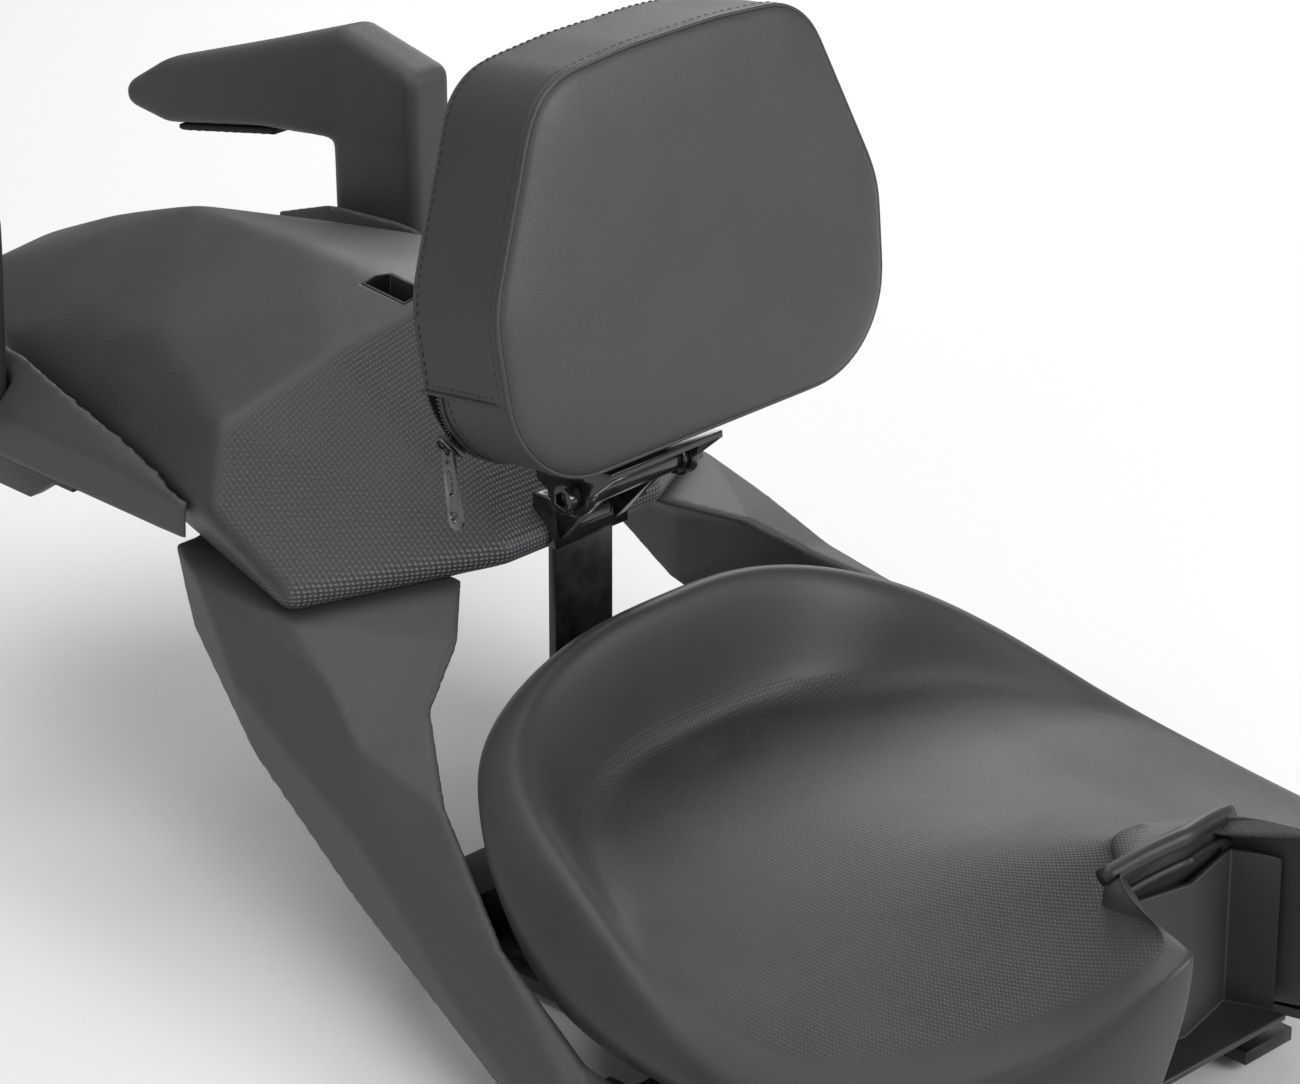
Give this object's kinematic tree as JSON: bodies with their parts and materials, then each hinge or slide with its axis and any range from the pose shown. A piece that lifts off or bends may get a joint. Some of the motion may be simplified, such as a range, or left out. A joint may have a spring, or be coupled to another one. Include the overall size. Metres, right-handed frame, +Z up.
{
  "type": "motorcycle seat",
  "caption": "Two-up motorcycle seat: rider bucket seat with folding height-adjustable backrest, passenger seat, cast support legs and grab handles.",
  "frame": {"origin": "centre of the four chassis bolt holes, on the underside of the base rails", "axes": "+Z up, -Y the way the rider faces, +X the rider's left"},
  "size_m": [0.542, 1.0769, 0.5382],
  "materials": {
    "frame_steel": "satin black powder coat",
    "cast_alloy": "textured matte charcoal powder coat on cast alloy",
    "grip_black": "matte soft-touch black",
    "black_plastic": "moulded black, fine texture",
    "rubber": "matte",
    "fastener": "zinc black",
    "foam": "open-cell foam",
    "seat_vinyl": "charcoal seat vinyl, smooth bolsters and dot-textured centre",
    "black_steel": "semi-gloss black",
    "hinge_steel": "black oxide, polished",
    "board": "birch ply",
    "pad_leather": "fine-grained charcoal leatherette",
    "pad_band_vinyl": "matte charcoal vinyl",
    "zip_metal": "dark gunmetal"
  },
  "bodies": {
    "seat_frame": {"base_rail_left": "frame_steel", "base_rail_right": "frame_steel", "rear_crossmember": "frame_steel", "mid_crossmember": "frame_steel", "leg_left": "cast_alloy", "leg_right": "cast_alloy", "leg_bolts": "fastener", "tail_bridge": "frame_steel", "bridge_bolts": "fastener", "tail_rail_left": "cast_alloy", "tail_rail_right": "cast_alloy", "tail_crossbar": "frame_steel", "tail_brackets": "black_plastic", "grab_handle_left": "cast_alloy", "grab_handle_right": "cast_alloy", "grip_insert_left": "grip_black", "grip_insert_right": "grip_black", "handle_bolts": "fastener", "rider_pan": "black_plastic", "rider_spacers": "rubber", "rider_bolts": "fastener", "rider_foam": "foam", "rider_cover": "seat_vinyl", "nose_trim": "black_plastic", "passenger_pan": "black_plastic", "passenger_bumpers": "rubber", "passenger_screws": "fastener", "passenger_foam": "foam", "passenger_cover": "seat_vinyl", "slot_bezel": "black_plastic", "upright_bar": "black_steel", "bar_bolts": "fastener"},
    "height_slide": {"slide_channel": "black_steel", "slide_liner": "black_plastic"},
    "clamp_knob": {"clamp_knob": "black_plastic"},
    "backrest": {"pad_bracket": "black_steel", "hinge_bolt": "hinge_steel", "hinge_nut": "hinge_steel", "hinge_collars": "black_steel", "pad_board": "board", "board_screws": "fastener", "pad_foam": "foam", "pad_front": "pad_leather", "pad_band": "pad_band_vinyl", "pad_back": "pad_band_vinyl", "zip_chain": "black_plastic"},
    "zip_slider": {"zip_slider": "zip_metal"},
    "zip_pull": {"zip_pull": "zip_metal"}
  },
  "joints": [
    {"name": "backrest_height", "type": "slide", "parent": "seat_frame", "child": "height_slide", "axis": [0, 0, 1], "range_m": [-0.025, 0.012]},
    {"name": "clamp_turn", "type": "hinge", "parent": "height_slide", "child": "clamp_knob", "pos_m": [0, 0.2286, 0.229], "axis": [1, 0, 0], "range_deg": [0, 270]},
    {"name": "backrest_tilt", "type": "hinge", "parent": "height_slide", "child": "backrest", "pos_m": [0, 0.19, 0.262], "axis": [1, 0, 0], "range_deg": [-6, 65]},
    {"name": "zip_slide", "type": "hinge", "parent": "backrest", "child": "zip_slider", "pos_m": [-0.087, 0.19473, 0.3603], "axis": [0, 0.9903, -0.1392], "range_deg": [-28, 12]},
    {"name": "zip_pull_swing", "type": "hinge", "parent": "zip_slider", "child": "zip_pull", "pos_m": [-0.13972, 0.18899, 0.31951], "axis": [0, 0.9903, -0.1392], "range_deg": [-8, 80]}
  ]
}
